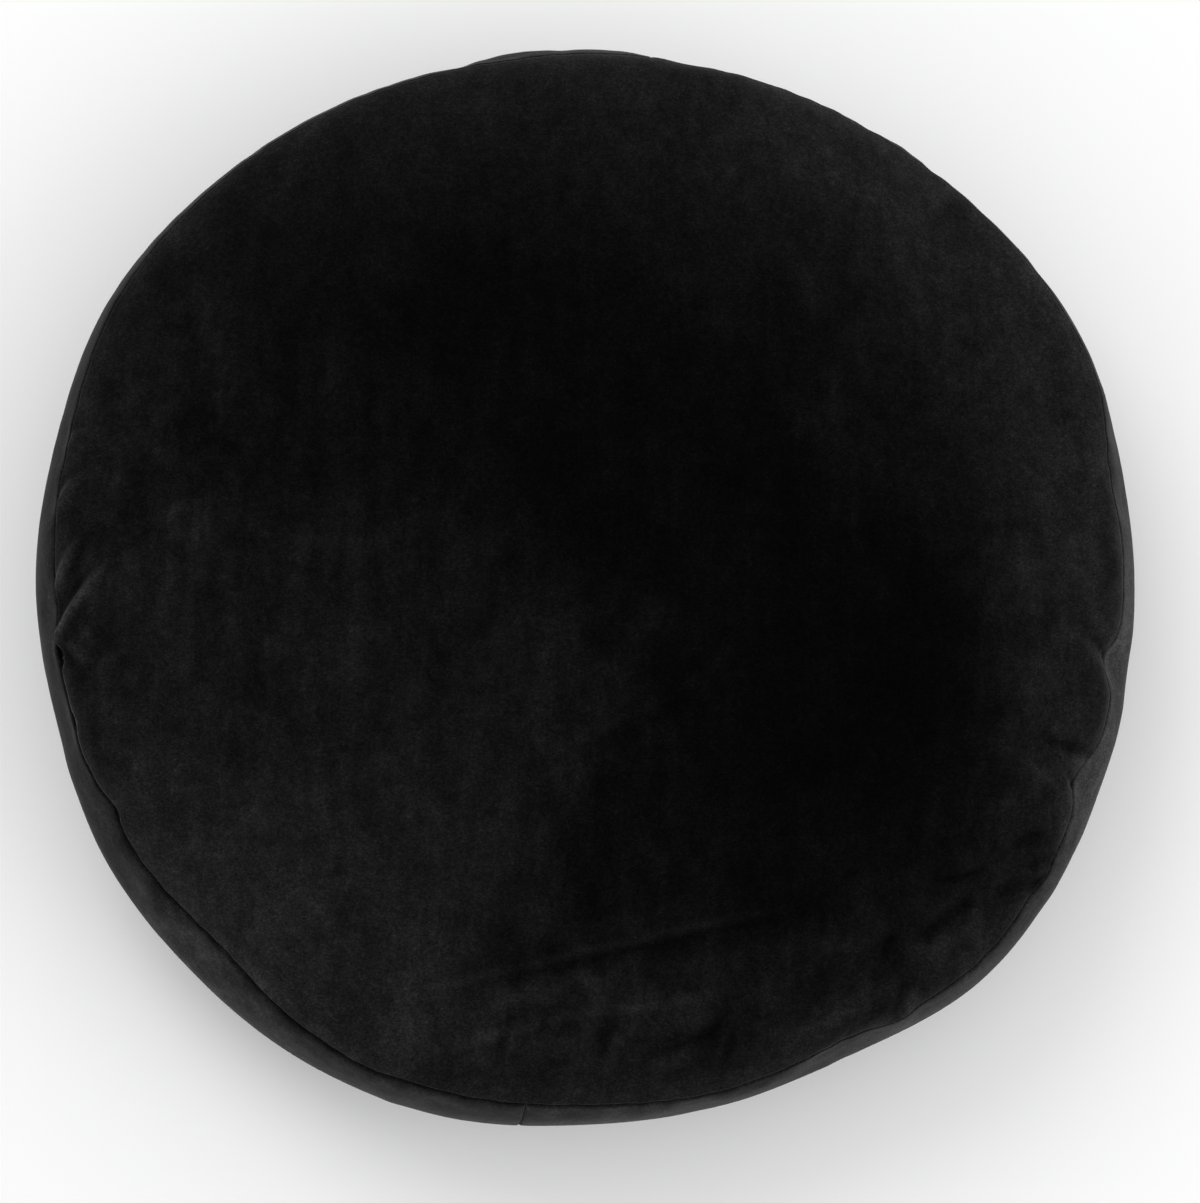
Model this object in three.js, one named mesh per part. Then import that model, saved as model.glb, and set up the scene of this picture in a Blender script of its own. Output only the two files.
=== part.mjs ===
// A round box cushion in velvet, lying on its back: one filled solid with its crowned panels,
// the band between them and the two sewn seams that draw it in.
// Millimetres, +Z up. Seen from above, X runs to the right and Y runs up the front panel.
import * as THREE from "three";
import { mergeVertices } from "three/addons/utils/BufferGeometryUtils.js";

// Driving dimensions
const nominalRadius = 230; // half the width at the fullest part of the band
const nominalInset = 10; // how far each seam lies inside that
const backSeamHeight = 30;
const frontSeamHeight = 95;
const totalHeight = 133;
const restingRadius = 115; // the flat patch that the cushion lies on
const seamDepth = 2.4; // how far the stitches draw the seam in
const seamLip = 3.5; // half the width of the seam's groove
const sectors = 120;
const backRings = 8;
const bandRings = 10;
const frontRings = 17;

// The form of the panels and the band
const backFullness = 2.1; // higher holds the back panel flat for longer
const crownFullness = 2.6; // higher keeps the crown flat further out
const crownShoulder = 0.62; // lower turns the crown down more steeply at the seam
const bandFullness = 0.75; // lower makes the band's bulge squarer
const seamSway = 29; // the width of cloth that rises and falls with the front seam
const shoulder = 10; // the height above the front seam over which creases and swells fade in
const creaseEnd = 0.15; // the share of a crease's length on each side of its end over which it fades

// The cushion's outline, counterclockwise from the right: how far out the band reaches,
// how far inside that the front and the back seam run, and the height of the front seam.
const sections = [
  { angle: 0, reach: 233.5, frontInset: 10.5, backInset: 10, seamHeight: 95 },
  { angle: 15, reach: 235.5, frontInset: 11, backInset: 9, seamHeight: 96 },
  { angle: 30, reach: 240.5, frontInset: 10, backInset: 11, seamHeight: 96 },
  { angle: 45, reach: 237.5, frontInset: 9.5, backInset: 10, seamHeight: 95 },
  { angle: 60, reach: 235, frontInset: 9.5, backInset: 9, seamHeight: 94 },
  { angle: 75, reach: 233, frontInset: 9.5, backInset: 10, seamHeight: 95 },
  { angle: 90, reach: 233, frontInset: 9.5, backInset: 11, seamHeight: 95 },
  { angle: 105, reach: 232, frontInset: 9.5, backInset: 10, seamHeight: 96 },
  { angle: 120, reach: 232, frontInset: 9.5, backInset: 9, seamHeight: 95 },
  { angle: 135, reach: 233, frontInset: 9, backInset: 9, seamHeight: 94 },
  { angle: 150, reach: 233.5, frontInset: 8.5, backInset: 10, seamHeight: 94 },
  { angle: 165, reach: 230, frontInset: 8, backInset: 9, seamHeight: 95 },
  { angle: 180, reach: 229, frontInset: 9.5, backInset: 8, seamHeight: 96 },
  { angle: 195, reach: 226.5, frontInset: 7.5, backInset: 9, seamHeight: 94 },
  { angle: 210, reach: 229.5, frontInset: 11, backInset: 10, seamHeight: 94 },
  { angle: 225, reach: 228.5, frontInset: 11.5, backInset: 9, seamHeight: 95 },
  { angle: 240, reach: 229, frontInset: 10, backInset: 8, seamHeight: 95 },
  { angle: 255, reach: 227.5, frontInset: 8, backInset: 9, seamHeight: 96 },
  { angle: 270, reach: 223.5, frontInset: 8, backInset: 10, seamHeight: 95 },
  { angle: 285, reach: 222.5, frontInset: 6.5, backInset: 9, seamHeight: 94 },
  { angle: 300, reach: 224, frontInset: 8, backInset: 8, seamHeight: 94 },
  { angle: 315, reach: 233, frontInset: 8.5, backInset: 10, seamHeight: 96 },
  { angle: 330, reach: 233.5, frontInset: 10.5, backInset: 11, seamHeight: 95 },
  { angle: 345, reach: 233, frontInset: 11.5, backInset: 10, seamHeight: 94 },
];

// Gathers at the seams: each is a trough of that width and depth that starts at the seam
// and fades out over its reach, leaning round the cushion by lean degrees on the way.
const gathers = [
  { seam: "front", angle: 14, lean: 1, width: 19, reach: 34, depth: 1.6 },
  { seam: "front", angle: 47, lean: -2, width: 22, reach: 30, depth: 1.2 },
  { seam: "front", angle: 84, lean: 1, width: 19, reach: 26, depth: 1.6 },
  { seam: "front", angle: 128, lean: 2, width: 22, reach: 30, depth: 1.2 },
  { seam: "front", angle: 164, lean: -3, width: 19, reach: 40, depth: 1.8 },
  { seam: "front", angle: 177, lean: -6, width: 18, reach: 46, depth: 3 },
  { seam: "front", angle: 188, lean: -4, width: 19, reach: 30, depth: 4 },
  { seam: "front", angle: 196, lean: -2, width: 16, reach: 22, depth: 2.4 },
  { seam: "front", angle: 205, lean: -1, width: 16, reach: 18, depth: 2.4 },
  { seam: "front", angle: 243, lean: 2, width: 24, reach: 26, depth: 1.2 },
  { seam: "front", angle: 263, lean: 0, width: 19, reach: 22, depth: 1.6 },
  { seam: "front", angle: 304, lean: -3, width: 22, reach: 30, depth: 2.6 },
  { seam: "front", angle: 327, lean: -5, width: 19, reach: 52, depth: 3.2 },
  { seam: "front", angle: 340, lean: 3, width: 18, reach: 38, depth: 3.6 },
  { seam: "front", angle: 352, lean: 2, width: 19, reach: 44, depth: 3.8 },
  { seam: "back", angle: 22, lean: 2, width: 22, reach: 34, depth: 2 },
  { seam: "back", angle: 83, lean: 0, width: 19, reach: 26, depth: 1.8 },
  { seam: "back", angle: 131, lean: -3, width: 20, reach: 36, depth: 2.4 },
  { seam: "back", angle: 186, lean: 2, width: 19, reach: 30, depth: 2.6 },
  { seam: "back", angle: 236, lean: -2, width: 22, reach: 34, depth: 2 },
  { seam: "back", angle: 263, lean: 0, width: 19, reach: 24, depth: 1.8 },
  { seam: "back", angle: 318, lean: 3, width: 20, reach: 38, depth: 2.6 },
];

// Creases that lie across the front panel, each from one end to the other along a bow:
// bow is how far its middle stands off the straight line.
const creases = [
  { from: [-70, -170], to: [84, -136], bow: -6, width: 13, depth: 1.5 },
  { from: [-20, -76], to: [60, -37], bow: -9, width: 14, depth: 1 },
  { from: [14, -201], to: [56, -185], bow: 2, width: 13, depth: 1.2 },
  { from: [134, -122], to: [186, -112], bow: 3, width: 14, depth: 1.4 },
  { from: [160, 26], to: [192, 16], bow: 4, width: 13, depth: 0.9 },
];

// Broad rises and hollows in the filling, on the front panel
const swells = [
  { at: [-90, -20], radius: 57, rise: 1.6 },
  { at: [60, 110], radius: 54, rise: 1.2 },
  { at: [95, -60], radius: 48, rise: -2.2 },
  { at: [-20, 60], radius: 45, rise: -1.4 },
  { at: [-60, -130], radius: 36, rise: 1 },
];

const fullTurn = 2 * Math.PI;
const outline = new THREE.CatmullRomCurve3(
  sections.map((row) => new THREE.Vector3(row.reach, row.frontInset, row.seamHeight)),
  true,
  "catmullrom",
);
const backOutline = new THREE.CatmullRomCurve3(
  sections.map((row) => new THREE.Vector3(row.reach, row.backInset, 0)),
  true,
  "catmullrom",
);

// The share of the whole turn, from 0 to 1, at which a point lies round the Z axis
function turnOf(x, y) {
  return (Math.atan2(y, x) / fullTurn + 1) % 1;
}

// A soft bell, 1 at the middle and about a third at the two ends of its width
function bell(distance, width) {
  return Math.exp(-(((2 * distance) / width) ** 2));
}

// Eases from 0 to 1 as value goes from low to high
function ease(value, low, high) {
  return THREE.MathUtils.smoothstep(value, low, high);
}

// The nominal cross-section, from the middle of the back, round the band, to the middle of the front
function crossSection() {
  const seamRadius = nominalRadius - nominalInset;
  const lipRadius = seamRadius + seamDepth;
  const points = [new THREE.Vector2(0, 0), new THREE.Vector2(restingRadius, 0)];
  const backLip = backSeamHeight - seamLip;
  for (let ring = 1; ring <= backRings; ring++) {
    const share = Math.sin((ring / backRings) * (Math.PI / 2));
    const radius = THREE.MathUtils.lerp(restingRadius, lipRadius, share);
    const rise = 1 - (1 - share ** backFullness) ** crownShoulder;
    points.push(new THREE.Vector2(radius, backLip * rise));
  }
  points.push(new THREE.Vector2(seamRadius, backSeamHeight));
  const bandLow = backSeamHeight + seamLip;
  const bandHigh = frontSeamHeight - seamLip;
  const bulge = nominalRadius - lipRadius;
  for (let ring = 0; ring <= bandRings; ring++) {
    const share = ring / bandRings;
    const swell = Math.sin(Math.PI * share) ** bandFullness;
    const height = THREE.MathUtils.lerp(bandLow, bandHigh, share);
    points.push(new THREE.Vector2(lipRadius + bulge * swell, height));
  }
  points.push(new THREE.Vector2(seamRadius, frontSeamHeight));
  const frontLip = frontSeamHeight + seamLip;
  for (let ring = 0; ring < frontRings; ring++) {
    const share = Math.cos((ring / frontRings) * (Math.PI / 2));
    const crown = (1 - share ** crownFullness) ** crownShoulder;
    points.push(
      new THREE.Vector2(lipRadius * share, THREE.MathUtils.lerp(frontLip, totalHeight, crown)),
    );
  }
  points.push(new THREE.Vector2(0, totalHeight));
  return points;
}

// Moves a point of the nominal cushion out or in, and its seam up or down, to the real outline.
function followOutline(point) {
  const turn = turnOf(point.x, point.y);
  const front = outline.getPoint(turn);
  const back = backOutline.getPoint(turn);
  const climb = ease(point.z, backSeamHeight, frontSeamHeight);
  const seamRadius = front.x - THREE.MathUtils.lerp(back.y, front.y, climb);
  const nominalSeam = nominalRadius - nominalInset;
  const radius = Math.hypot(point.x, point.y);
  const onBand = Math.max(0, radius - nominalSeam);
  const bulge = (front.x - seamRadius) / nominalInset;
  const placed = Math.min(radius, nominalSeam) * (seamRadius / nominalSeam) + onBand * bulge;
  if (radius > 0) {
    point.x *= placed / radius;
    point.y *= placed / radius;
  }
  const outer = ease(radius, nominalSeam - 2 * seamSway, nominalSeam);
  point.z += outer * bell(point.z - frontSeamHeight, seamSway) * (front.z - frontSeamHeight);
}

// How deep the gathers pull the cloth in at a point, near either seam
function gatherDepth(point) {
  const angle = turnOf(point.x, point.y) * 360;
  const radius = Math.hypot(point.x, point.y);
  const middle = (backSeamHeight + frontSeamHeight) / 2;
  const side = point.z > middle ? "front" : "back";
  const seamHeight = side === "front" ? frontSeamHeight : backSeamHeight;
  const seamRadius = nominalRadius - nominalInset;
  const away = Math.hypot(point.z - seamHeight, Math.max(0, seamRadius - radius));
  let depth = 0;
  for (const row of gathers) {
    if (row.seam !== side) continue;
    const leaned = row.angle + row.lean * (away / row.reach);
    const turned = ((angle - leaned + 540) % 360) - 180;
    const across = THREE.MathUtils.degToRad(turned) * radius;
    depth += row.depth * bell(across, row.width) * (1 - ease(away, 0, row.reach));
  }
  return depth;
}

// How deep the creases lie, less the rise of the filling, at a point of the front panel
function frontRelief(point) {
  let depth = 0;
  for (const row of creases) {
    const start = new THREE.Vector2(...row.from);
    const along = new THREE.Vector2(...row.to).sub(start);
    const length = along.length();
    along.normalize();
    const offset = new THREE.Vector2(point.x, point.y).sub(start);
    const travel = offset.dot(along) / length;
    const bowed = row.bow * Math.sin(Math.PI * THREE.MathUtils.clamp(travel, 0, 1));
    const across = along.cross(offset) - bowed;
    const ends = ease(travel, -creaseEnd, creaseEnd) * ease(1 - travel, -creaseEnd, creaseEnd);
    depth += row.depth * ends * bell(across, row.width);
  }
  for (const row of swells) {
    const distance = Math.hypot(point.x - row.at[0], point.y - row.at[1]);
    depth -= row.rise * bell(distance, 2 * row.radius);
  }
  return depth * ease(point.z, frontSeamHeight, frontSeamHeight + shoulder);
}

function makeCushionGeometry() {
  const turned = new THREE.LatheGeometry(crossSection(), sectors);
  turned.rotateX(Math.PI / 2);
  turned.deleteAttribute("uv");
  turned.deleteAttribute("normal");
  const cushion = mergeVertices(turned, 1e-3);
  const places = cushion.attributes.position;
  const point = new THREE.Vector3();
  for (let i = 0; i < places.count; i++) {
    followOutline(point.fromBufferAttribute(places, i));
    places.setXYZ(i, point.x, point.y, point.z);
  }
  cushion.computeVertexNormals();
  const inward = new THREE.Vector3();
  for (let i = 0; i < places.count; i++) {
    point.fromBufferAttribute(places, i);
    if (point.z <= 0) continue; // the flat patch stays flat
    inward.fromBufferAttribute(cushion.attributes.normal, i).negate();
    point.addScaledVector(inward, gatherDepth(point) + frontRelief(point));
    places.setXYZ(i, point.x, point.y, Math.max(point.z, 0));
  }
  cushion.computeBoundingBox();
  const middle = cushion.boundingBox.getCenter(new THREE.Vector3());
  cushion.translate(-middle.x, -middle.y, -cushion.boundingBox.min.z);
  cushion.computeVertexNormals();
  return cushion;
}

const velvet = new THREE.MeshStandardMaterial({ color: 0x121213, roughness: 0.95, metalness: 0 });
const cushion = new THREE.Mesh(makeCushionGeometry(), velvet);
cushion.name = "cushion";

const roundCushion = new THREE.Group();
roundCushion.add(cushion);

export default roundCushion;
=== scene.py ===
# Round box cushion in black velvet, lying on its back. Blender 4.5, metres.
import bpy
import bmesh
import math
import random
import numpy as np
from mathutils import Matrix, Vector


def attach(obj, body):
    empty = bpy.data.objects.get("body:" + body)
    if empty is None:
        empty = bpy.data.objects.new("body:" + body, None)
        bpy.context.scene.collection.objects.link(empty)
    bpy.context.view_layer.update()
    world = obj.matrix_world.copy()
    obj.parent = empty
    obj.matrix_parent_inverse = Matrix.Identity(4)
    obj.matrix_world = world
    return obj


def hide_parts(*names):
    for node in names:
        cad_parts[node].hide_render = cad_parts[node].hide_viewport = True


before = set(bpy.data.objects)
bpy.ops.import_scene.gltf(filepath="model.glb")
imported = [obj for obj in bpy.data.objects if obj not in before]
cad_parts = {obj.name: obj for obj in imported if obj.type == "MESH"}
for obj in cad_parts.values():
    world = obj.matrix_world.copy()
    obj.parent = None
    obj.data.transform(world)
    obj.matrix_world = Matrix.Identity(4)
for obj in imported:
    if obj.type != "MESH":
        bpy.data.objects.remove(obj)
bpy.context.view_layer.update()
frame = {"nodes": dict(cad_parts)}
scene = bpy.context.scene
fullTurn = 2 * math.pi
mm = 0.001
print("frame loaded:", ", ".join(frame["nodes"]))

# The cushion's cut and its finished form
pattern = {
    "panelRadius": 231 * mm,  # cut radius of both round panels, without seam allowance
    "bandWidth": 68 * mm,  # finished width of the band
    "easedCrown": 29 * mm,  # how far the velvet gives before it has to pucker
    "backSeamHeight": 30 * mm,
    "frontSeamHeight": 95 * mm,
    "topHeight": 133 * mm,
    "rimSlope": 40,  # degrees at which the front panel leaves its seam
    "frontDrop": 20 * mm,  # how far below that seam cloth still counts as the front's side
    "corners": 6,  # of the polygon that a panel's cells are laid out in
    "panelRings": 44,  # rings of cells in a panel, and cells along each side of that polygon
    "bandCuts": 13,
}
hair = 0.01 * mm  # shorter than any cell

# Outline, counterclockwise from the right: angle in degrees, how far out the band reaches, how far
# inside that the front and the back seam run, the height of the front seam, and how deep its
# stitches draw the cloth in, in millimetres
outlineRows = [
    (0, 232.8, 9.2, 10, 95, 1.2), (15, 234.9, 8.4, 9, 96, 0.8), (30, 235.8, 5.6, 9, 96, 0.5),
    (45, 233.2, 5.8, 9, 95, 0.4), (60, 231.6, 5.8, 8, 94, 0.4), (75, 229.9, 5.8, 9, 95, 0.5),
    (90, 231, 8.2, 10, 95, 0.7), (105, 228.3, 6, 9, 96, 0.6), (120, 229.2, 5, 8, 95, 0.5),
    (135, 230.3, 4.4, 8, 94, 0.5), (150, 232.2, 5.8, 9, 94, 0.7), (165, 229, 7, 9, 95, 1.2),
    (180, 228.8, 9.5, 8, 96, 1.6), (195, 226.7, 6.4, 9, 94, 2.2), (210, 229.5, 11, 10, 94, 2.5),
    (225, 228.5, 11.5, 9, 95, 2.5), (240, 229.2, 9.4, 8, 95, 2.5), (255, 228, 8.3, 9, 96, 2.4),
    (270, 223.8, 6.8, 10, 95, 1.8), (285, 223.2, 5, 9, 94, 1.4), (300, 224.4, 6.6, 8, 94, 1.8),
    (315, 233, 8.5, 10, 96, 2.2), (330, 233.5, 10.2, 11, 95, 2.0), (345, 232.8, 9.7, 10, 94, 1.6),
]
bandReach, frontInset, backInset, frontHeight, frontDepth = range(1, 6)  # their columns

# Where the front seam strays from that line: angle, width in degrees, millimetres outwards
seamStrays = [
    (174, 14, 1.0), (184, 5, -0.8), (188.5, 5, 1.2), (200, 6, 1.0), (206.5, 4.5, -2.0), (226, 14, -2.4),
    (245.5, 8, 1.4), (351.5, 4.6, -6.6), (338.2, 5.6, -5.8), (327, 5, 1.6), (324.2, 2.6, -1.4),
    (304.8, 5, 2.6), (11.5, 11, -2.8), (22, 10, 1.4), (47, 16, 0.3),
]

stitches = {"wobble": 0.22 * mm, "waves": (70, 150), "count": 18, "seed": 11}  # small strays all round


def ease(value, low, high):
    share = np.clip((value - low) / (high - low), 0, 1)
    return share * share * (3 - 2 * share)


def bell(distance, width):
    return np.exp(-((2 * distance / width) ** 2))  # about a third at the ends of its width


def turnBetween(angle, other):
    return (angle - other + 180) % 360 - 180  # degrees, from -180 to 180


def bellsAt(rows, angle):
    # what rows of an angle, a width and an amount add up to there
    return sum(amount * bell(turnBetween(angle, at), width) for at, width, amount in rows)


def rowsAt(rows, column, angle):
    # smooth closed curve through one column of evenly spaced rows
    values = np.array([row[column] for row in rows], dtype=float)
    place = np.asarray(angle) % 360 * len(rows) / 360
    index = np.floor(place).astype(int)
    t = place - index
    a, b, c, d = (values[(index + k) % len(rows)] for k in (-1, 0, 1, 2))
    return b + 0.5 * t * (c - a + t * (2 * a - 5 * b + 4 * c - d + t * (3 * (b - c) + d - a)))


def polarOf(points):
    x, y = points[..., 0], points[..., 1]
    return np.hypot(x, y), np.degrees(np.arctan2(y, x)) % 360


def outlineMiddle():
    # the frame's origin lies under the middle of the outline's box
    angles = np.arange(360)
    reach = rowsAt(outlineRows, bandReach, angles) * mm
    xs, ys = reach * np.cos(np.radians(angles)), reach * np.sin(np.radians(angles))
    return Vector(((xs.min() + xs.max()) / 2, (ys.min() + ys.max()) / 2, 0))


toFrame = -outlineMiddle()


# Camera: almost straight down on the front panel, from a little below and left of its middle
cameraSetup = {
    "distance": 1.9,
    "tiltLeft": 4.5,  # degrees that the camera stands to the left of the upright
    "tiltDown": 8.0,  # degrees that it stands below it, towards the bottom of the picture
    "width": 460 * mm,  # so much of the cushion's width ...
    "widthPixels": 1097,  # ... takes up so much of the picture
    "picture": (1200, 1203),
    "middlePixel": (584.5, 588.0),  # where the outline's middle shows, at the aim's height
    "aimHeight": 66 * mm,
    "sensor": 36,
    "clip": (0.05, 20),
}


def makeCamera():
    c = cameraSetup
    data = bpy.data.cameras.new("camera")
    camera = bpy.data.objects.new("camera", data)
    scene.collection.objects.link(camera)
    left, down = math.sin(math.radians(c["tiltLeft"])), math.sin(math.radians(c["tiltDown"]))
    back = Vector((-left, -down, math.sqrt(1 - left * left - down * down)))
    right = Vector((0, 1, 0)).cross(back).normalized()
    up = back.cross(right)
    pixel = c["width"] / c["widthPixels"]
    data.sensor_width = c["sensor"]
    data.lens = c["sensor"] * c["distance"] / pixel / max(c["picture"])
    aside = (c["picture"][0] / 2 - c["middlePixel"][0]) * pixel
    below = (c["picture"][1] / 2 - c["middlePixel"][1]) * pixel
    aim = toFrame + Vector((0, 0, c["aimHeight"])) + right * aside - up * below
    turned = Matrix((right, up, back)).transposed().to_4x4()
    camera.matrix_world = Matrix.Translation(aim + back * c["distance"]) @ turned
    data.clip_start, data.clip_end = c["clip"]
    scene.camera = camera


makeCamera()
print("camera placed")


# The cover: two round panels and a band, cut flat and sewn, then blown up by the filling
def roundTheRings(bm):
    # the polygon's rings of cells become round ones, each cell keeping its share of the turn
    wedge = fullTurn / pattern["corners"]
    for v in bm.verts:
        index = int(math.atan2(v.co.y, v.co.x) % fullTurn // wedge)
        one = Vector((math.cos(index * wedge), math.sin(index * wedge)))
        two = Vector((math.cos((index + 1) * wedge), math.sin((index + 1) * wedge)))
        across = one.x * two.y - one.y * two.x
        first = (v.co.x * two.y - v.co.y * two.x) / across
        second = (one.x * v.co.y - one.y * v.co.x) / across
        radius = first + second
        if radius > hair:
            angle = (index + second / radius) * wedge
            v.co.x = radius * math.cos(angle)
            v.co.y = radius * math.sin(angle)


def cutAndSew():
    # both panels, with the band bridged between their edges
    p = pattern
    bm = bmesh.new()
    bmesh.ops.create_circle(bm, cap_ends=True, cap_tris=True, segments=p["corners"],
                            radius=p["panelRadius"])
    corner = max(bm.verts, key=lambda v: v.co.length)
    turn = Matrix.Rotation(-math.atan2(corner.co.y, corner.co.x), 3, "Z")
    bmesh.ops.rotate(bm, verts=bm.verts, cent=(0, 0, 0), matrix=turn)
    bmesh.ops.subdivide_edges(bm, edges=bm.edges[:], cuts=p["panelRings"] - 1, use_grid_fill=True)
    roundTheRings(bm)
    copied = bmesh.ops.duplicate(bm, geom=bm.verts[:] + bm.edges[:] + bm.faces[:])
    backPanel = [part for part in copied["geom"] if isinstance(part, bmesh.types.BMVert)]
    bmesh.ops.translate(bm, verts=backPanel, vec=(0, 0, -p["bandWidth"]))
    rims = [edge for edge in bm.edges if edge.is_boundary]
    for edge in rims:
        edge.seam = True
    bmesh.ops.bridge_loops(bm, edges=rims)
    upright = [e for e in bm.edges if abs(e.verts[0].co.z - e.verts[1].co.z) > p["bandWidth"] / 2]
    bmesh.ops.subdivide_edges(bm, edges=upright, cuts=p["bandCuts"], use_grid_fill=True)
    bmesh.ops.translate(bm, verts=bm.verts, vec=(0, 0, p["bandWidth"] / 2))
    bmesh.ops.recalc_face_normals(bm, faces=bm.faces)
    mesh = bpy.data.meshes.new("cushionCover")
    bm.to_mesh(mesh)
    bm.free()
    cover = bpy.data.objects.new("cushionCover", mesh)
    scene.collection.objects.link(cover)
    return cover


def pointsOf(mesh, kind="co"):
    values = np.empty(len(mesh.vertices) * 3)
    mesh.vertices.foreach_get(kind, values)
    return values.reshape(-1, 3)


def setPoints(mesh, points):
    mesh.vertices.foreach_set("co", points.ravel())
    mesh.update()


def ringsOf(points):
    # vertex numbers ring by ring, each counterclockwise from the right: (1, n) is the front panel's
    # nth ring, (-1, n) the back panel's, and (0, n) the band's, from the back seam up
    p = pattern
    radius, angle = polarOf(points)
    onPanel = np.abs(points[:, 2]) > p["bandWidth"] / 2 - hair
    panelRing = np.round(radius / p["panelRadius"] * p["panelRings"]).astype(int)
    bandRing = np.round((points[:, 2] / p["bandWidth"] + 0.5) * (p["bandCuts"] + 1)).astype(int)
    slip = 0.01  # degrees by which a ring's first vertex may fall short of a full turn
    order = np.argsort((angle + slip) % 360)
    rings = {}
    for index in order:
        side = int(np.sign(points[index, 2])) if onPanel[index] else 0
        rings.setdefault((side, panelRing[index] if side else bandRing[index]), []).append(index)
    return {key: np.array(ring) for key, ring in rings.items()}


# Where the stitching gathers the cloth most: angle, width of the stretch in degrees, share of the pull
threadPulls = [(186, 34, 1.0), (345, 40, 1.0), (304, 16, 0.6), (12, 20, 0.3), (84, 14, 0.3)]

filling = {
    "frames": 20,
    "pressure": 2.5,
    "threadShrink": 0.014,  # how much the stitching shortens where it pulls most
    "evenPull": 0.2,  # the share of that all round the seams
    "slack": 2 * mm,  # how far inside the outline the cloth starts
    "crownPowers": (2.6, 0.7),  # how full the eased crown is: power of the radius, and of what is left
    "bandBulge": 3 * mm,
    "unevenness": 0.5 * mm,  # of seeded waves, so that the puckers don't follow the cells
    "waves": 60,
    "wavesRound": (6, 44),  # fewest and most of them round the edge
    "waveLean": 40,  # at most, in radians for each metre outwards
    "waveShift": 0.1,  # metres outwards, which sets the front's waves apart from the back's
    "waveSum": 8,  # about what they add up to
    "waveStart": 0.6,  # share of a panel's radius from which they show
    "seed": 4,
}


def easeTheCloth(points):
    # the flat-cut pieces take up the outline and the crown that the velvet's give allows
    p, f = pattern, filling
    draw = random.Random(f["seed"])
    waves = [(draw.randint(*f["wavesRound"]), draw.uniform(0, fullTurn),
              draw.uniform(-f["waveLean"], f["waveLean"]), draw.gauss(0, 1)) for _ in range(f["waves"])]
    half = p["bandWidth"] / 2
    radius, angle = polarOf(points)
    share = np.minimum(1, radius / p["panelRadius"])
    side = np.where(points[:, 2] > 0, 1, -1)
    onPanel = np.abs(points[:, 2]) > half - hair
    along, place = np.radians(angle), radius + side * f["waveShift"]
    wave = sum(w * np.cos(n * along + phase + k * place) for n, phase, k, w in waves) / f["waveSum"]
    bulge = np.where(onPanel, 0, f["bandBulge"] * np.cos(points[:, 2] / half * math.pi / 2))
    inner, outer = f["crownPowers"]
    crown = p["easedCrown"] * (1 - share ** inner) ** outer
    crown += f["unevenness"] * wave * ease(share, f["waveStart"], 1)
    points[:, 2] += np.where(onPanel, side * crown, 0)
    reach = rowsAt(outlineRows, bandReach, angle) * mm - f["slack"]
    fit = 1 + (reach / p["panelRadius"] - 1) * ease(share, 0, 1)
    points[:, :2] *= (fit * (1 + bulge / p["panelRadius"]))[:, None]


def fillCover(cover, seamRings):
    f = filling
    thread = cover.vertex_groups.new(name="thread")
    points = pointsOf(cover.data)
    for ring in seamRings:
        for index in ring:
            pull = bellsAt(threadPulls, polarOf(points[index])[1])
            thread.add([int(index)], f["evenPull"] + (1 - f["evenPull"]) * min(1, pull), "REPLACE")
    cloth = cover.modifiers.new("filling", "CLOTH")
    s = cloth.settings
    s.quality = 6
    s.mass = 0.3
    s.tension_stiffness = 40
    s.compression_stiffness = 20
    s.shear_stiffness = 10
    s.bending_stiffness = 3
    s.tension_damping = s.compression_damping = s.shear_damping = 8
    s.bending_damping = 1
    s.air_damping = 2
    s.use_pressure = True
    s.uniform_pressure_force = f["pressure"]
    s.effector_weights.gravity = 0
    s.vertex_group_shrink = "thread"
    s.shrink_min = 0
    s.shrink_max = f["threadShrink"]
    cloth.collision_settings.use_collision = False
    cloth.collision_settings.use_self_collision = False
    cloth.point_cache.frame_start, cloth.point_cache.frame_end = 1, f["frames"]
    for number in range(1, f["frames"] + 1):
        scene.frame_set(number)
    takeShape(cover)
    cover.vertex_groups.clear()
    scene.frame_set(1)


def takeShape(piece):
    # what the modifiers make of the piece becomes its mesh
    shape = bpy.data.meshes.new_from_object(piece.evaluated_get(bpy.context.evaluated_depsgraph_get()))
    piece.modifiers.clear()
    old, piece.data = piece.data, shape
    bpy.data.meshes.remove(old)
    shape.name = piece.name


# What stays of the puckers that the filling made
settling = {
    "broadest": 9,  # waves round the edge up to this many are the cushion's own form, and stay
    "kept": {1: 0.2, 0: 0.4, -1: 0.7},  # the share of the others that stays on the front, band and back
    "lively": [(182, 40, 0.6), (341, 46, 0.7), (304, 18, 0.4), (12, 24, 0.3)],  # more: angle, width, share
    "fewestCells": 36,  # rings round the middle with fewer stay as they are
    "flatness": 2.5 * mm,  # how softly the back meets the surface that it lies on
}


def calmPuckers(points, rings):
    for (side, _), ring in rings.items():
        if len(ring) < settling["fewestCells"]:
            continue
        radius, angle = polarOf(points[ring])
        keep = np.full(len(ring), settling["kept"][side])
        for at, width, share in settling["lively"]:
            keep = np.maximum(keep, share * bell(turnBetween(angle, at), width))
        even = np.arange(len(ring)) * 360 / len(ring)
        calmed = []
        for values in (radius, turnBetween(angle, even), points[ring, 2]):
            waves = np.fft.rfft(values)
            waves[settling["broadest"] + 1:] = 0
            slow = np.fft.irfft(waves, len(values))
            calmed.append(slow + keep * (values - slow))
        angle = np.radians(even + calmed[1])
        points[ring] = np.stack((calmed[0] * np.cos(angle), calmed[0] * np.sin(angle), calmed[2]), axis=1)


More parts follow.
